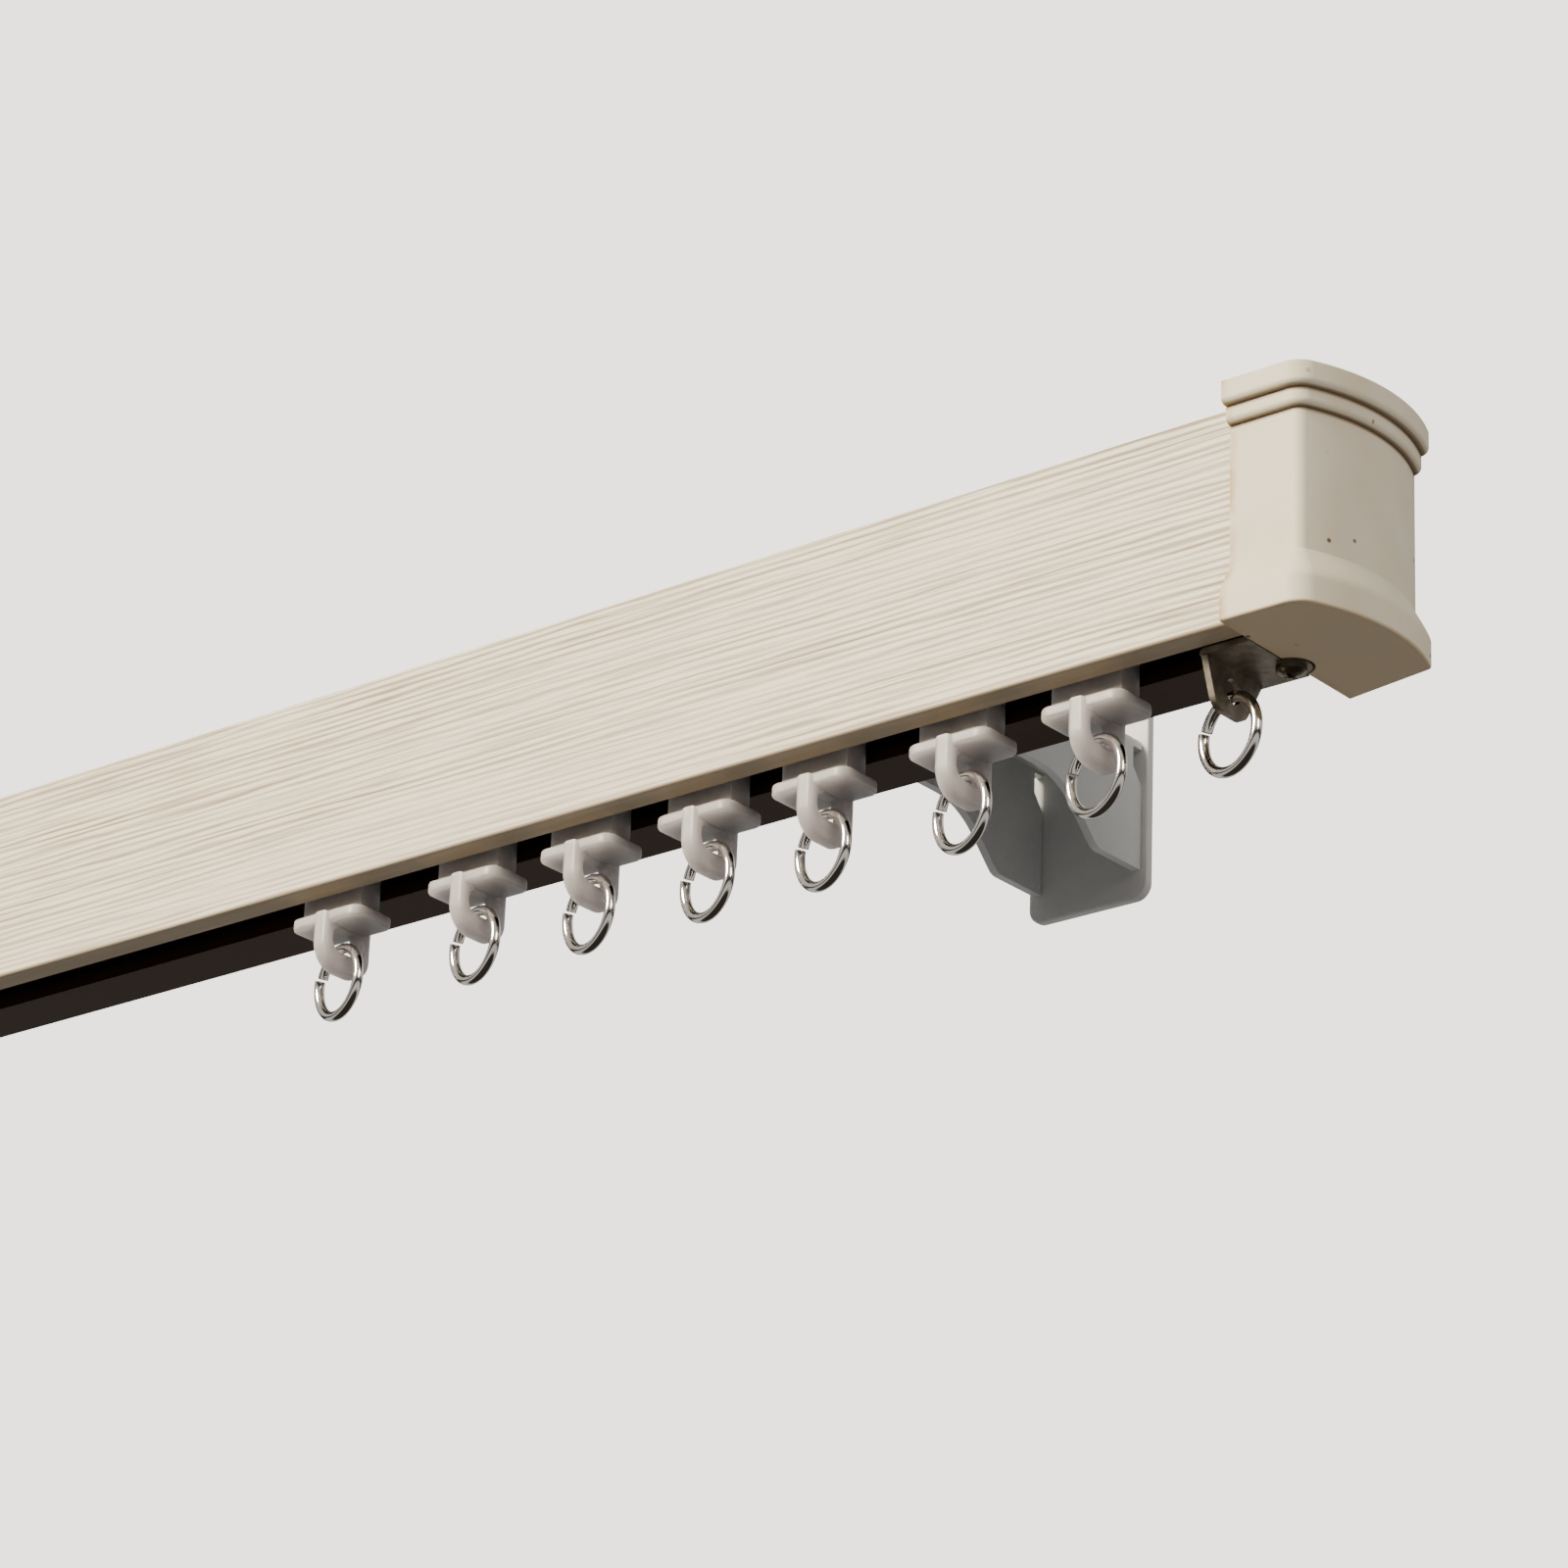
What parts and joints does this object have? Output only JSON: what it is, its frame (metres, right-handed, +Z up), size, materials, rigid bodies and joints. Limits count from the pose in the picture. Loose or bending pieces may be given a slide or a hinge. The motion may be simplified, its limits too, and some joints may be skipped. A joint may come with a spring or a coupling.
{
  "type": "curtain track",
  "caption": "Wall-mounted curtain track with a wood-grain fascia, moulded end caps, roller gliders with split rings and folded wall brackets.",
  "frame": {"origin": "on the wall plane, at the middle of the four wall screw holes", "axes": "+X along the track to the right as seen from the room, +Y into the wall, +Z up"},
  "size_m": [0.6272, 0.0687, 0.0674],
  "materials": {
    "brown_anodised": "satin dark brown",
    "wood_film": "pale wood-grain film",
    "cream_moulding": "moulded, matt",
    "grey_paint": "pale grey paint",
    "zinc_steel": "zinc plated",
    "pressed_steel": "dull plated sheet",
    "nickel_wire": "bright nickel",
    "milky_nylon": "milky, translucent",
    "white_acetal": "satin"
  },
  "bodies": {
    "track": {"channel": "brown_anodised", "fascia": "wood_film", "end_cap_right": "cream_moulding", "end_cap_left": "cream_moulding", "wall_bracket_right": "grey_paint", "wall_bracket_left": "grey_paint", "clamp_bolt_right": "zinc_steel", "clamp_bolt_left": "zinc_steel", "clamp_nut_right": "zinc_steel", "clamp_nut_left": "zinc_steel", "stop_plate_right": "pressed_steel", "stop_plate_left": "pressed_steel", "stop_screw_right": "zinc_steel", "stop_screw_left": "zinc_steel"},
    "glider_1": {"glider_1": "milky_nylon"},
    "wheelset_1": {"axle_1": "zinc_steel", "wheel_front_1": "white_acetal", "wheel_rear_1": "white_acetal"},
    "ring_1": {"ring_1": "nickel_wire"},
    "glider_2": {"glider_2": "milky_nylon"},
    "wheelset_2": {"axle_2": "zinc_steel", "wheel_front_2": "white_acetal", "wheel_rear_2": "white_acetal"},
    "ring_2": {"ring_2": "nickel_wire"},
    "glider_3": {"glider_3": "milky_nylon"},
    "wheelset_3": {"axle_3": "zinc_steel", "wheel_front_3": "white_acetal", "wheel_rear_3": "white_acetal"},
    "ring_3": {"ring_3": "nickel_wire"},
    "glider_4": {"glider_4": "milky_nylon"},
    "wheelset_4": {"axle_4": "zinc_steel", "wheel_front_4": "white_acetal", "wheel_rear_4": "white_acetal"},
    "ring_4": {"ring_4": "nickel_wire"},
    "glider_5": {"glider_5": "milky_nylon"},
    "wheelset_5": {"axle_5": "zinc_steel", "wheel_front_5": "white_acetal", "wheel_rear_5": "white_acetal"},
    "ring_5": {"ring_5": "nickel_wire"},
    "glider_6": {"glider_6": "milky_nylon"},
    "wheelset_6": {"axle_6": "zinc_steel", "wheel_front_6": "white_acetal", "wheel_rear_6": "white_acetal"},
    "ring_6": {"ring_6": "nickel_wire"},
    "glider_7": {"glider_7": "milky_nylon"},
    "wheelset_7": {"axle_7": "zinc_steel", "wheel_front_7": "white_acetal", "wheel_rear_7": "white_acetal"},
    "ring_7": {"ring_7": "nickel_wire"},
    "stop_ring_right": {"stop_ring_right": "nickel_wire"},
    "stop_ring_left": {"stop_ring_left": "nickel_wire"}
  },
  "joints": [
    {"name": "glider_1_slide", "type": "slide", "parent": "track", "child": "glider_1", "axis": [1, 0, 0], "range_m": [-0.341, 0.0166]},
    {"name": "wheelset_1_spin", "type": "hinge", "parent": "glider_1", "child": "wheelset_1", "pos_m": [0.0795, -0.0558, -0.0212], "axis": [0, 1, 0], "continuous": true},
    {"name": "ring_1_swing", "type": "hinge", "parent": "glider_1", "child": "ring_1", "pos_m": [0.0795, -0.0551, -0.04], "axis": [0.2419, 0.9703, 0], "range_deg": [-40, 40]},
    {"name": "glider_2_slide", "type": "slide", "parent": "track", "child": "glider_2", "axis": [1, 0, 0], "range_m": [-0.0166, 0.0099]},
    {"name": "wheelset_2_spin", "type": "hinge", "parent": "glider_2", "child": "wheelset_2", "pos_m": [0.1143, -0.0558, -0.0212], "axis": [0, 1, 0], "continuous": true},
    {"name": "ring_2_swing", "type": "hinge", "parent": "glider_2", "child": "ring_2", "pos_m": [0.1143, -0.0551, -0.04], "axis": [0.2419, 0.9703, 0], "range_deg": [-40, 40]},
    {"name": "glider_3_slide", "type": "slide", "parent": "track", "child": "glider_3", "axis": [1, 0, 0], "range_m": [-0.0099, 0.0101]},
    {"name": "wheelset_3_spin", "type": "hinge", "parent": "glider_3", "child": "wheelset_3", "pos_m": [0.1424, -0.0558, -0.0212], "axis": [0, 1, 0], "continuous": true},
    {"name": "ring_3_swing", "type": "hinge", "parent": "glider_3", "child": "ring_3", "pos_m": [0.1424, -0.0551, -0.04], "axis": [0.2419, 0.9703, 0], "range_deg": [-40, 40]},
    {"name": "glider_4_slide", "type": "slide", "parent": "track", "child": "glider_4", "axis": [1, 0, 0], "range_m": [-0.0101, 0.0085]},
    {"name": "wheelset_4_spin", "type": "hinge", "parent": "glider_4", "child": "wheelset_4", "pos_m": [0.1707, -0.0558, -0.0212], "axis": [0, 1, 0], "continuous": true},
    {"name": "ring_4_swing", "type": "hinge", "parent": "glider_4", "child": "ring_4", "pos_m": [0.1707, -0.0551, -0.04], "axis": [0.2419, 0.9703, 0], "range_deg": [-40, 40]},
    {"name": "glider_5_slide", "type": "slide", "parent": "track", "child": "glider_5", "axis": [1, 0, 0], "range_m": [-0.0085, 0.0128]},
    {"name": "wheelset_5_spin", "type": "hinge", "parent": "glider_5", "child": "wheelset_5", "pos_m": [0.1974, -0.0558, -0.0212], "axis": [0, 1, 0], "continuous": true},
    {"name": "ring_5_swing", "type": "hinge", "parent": "glider_5", "child": "ring_5", "pos_m": [0.1974, -0.0551, -0.04], "axis": [0.2419, 0.9703, 0], "range_deg": [-40, 40]},
    {"name": "glider_6_slide", "type": "slide", "parent": "track", "child": "glider_6", "axis": [1, 0, 0], "range_m": [-0.0128, 0.0106]},
    {"name": "wheelset_6_spin", "type": "hinge", "parent": "glider_6", "child": "wheelset_6", "pos_m": [0.2284, -0.0558, -0.0212], "axis": [0, 1, 0], "continuous": true},
    {"name": "ring_6_swing", "type": "hinge", "parent": "glider_6", "child": "ring_6", "pos_m": [0.2284, -0.0551, -0.04], "axis": [0.2419, 0.9703, 0], "range_deg": [-40, 40]},
    {"name": "glider_7_slide", "type": "slide", "parent": "track", "child": "glider_7", "axis": [1, 0, 0], "range_m": [-0.0106, 0.008]},
    {"name": "wheelset_7_spin", "type": "hinge", "parent": "glider_7", "child": "wheelset_7", "pos_m": [0.2572, -0.0558, -0.0212], "axis": [0, 1, 0], "continuous": true},
    {"name": "ring_7_swing", "type": "hinge", "parent": "glider_7", "child": "ring_7", "pos_m": [0.2572, -0.0551, -0.04], "axis": [0.2419, 0.9703, 0], "range_deg": [-40, 40]},
    {"name": "stop_ring_right_swing", "type": "hinge", "parent": "track", "child": "stop_ring_right", "pos_m": [0.2821, -0.051, -0.03595], "axis": [0.2419, 0.9703, 0], "range_deg": [-40, 40]},
    {"name": "stop_ring_left_swing", "type": "hinge", "parent": "track", "child": "stop_ring_left", "pos_m": [-0.2821, -0.051, -0.03595], "axis": [0.2419, 0.9703, 0], "range_deg": [-40, 40]}
  ]
}
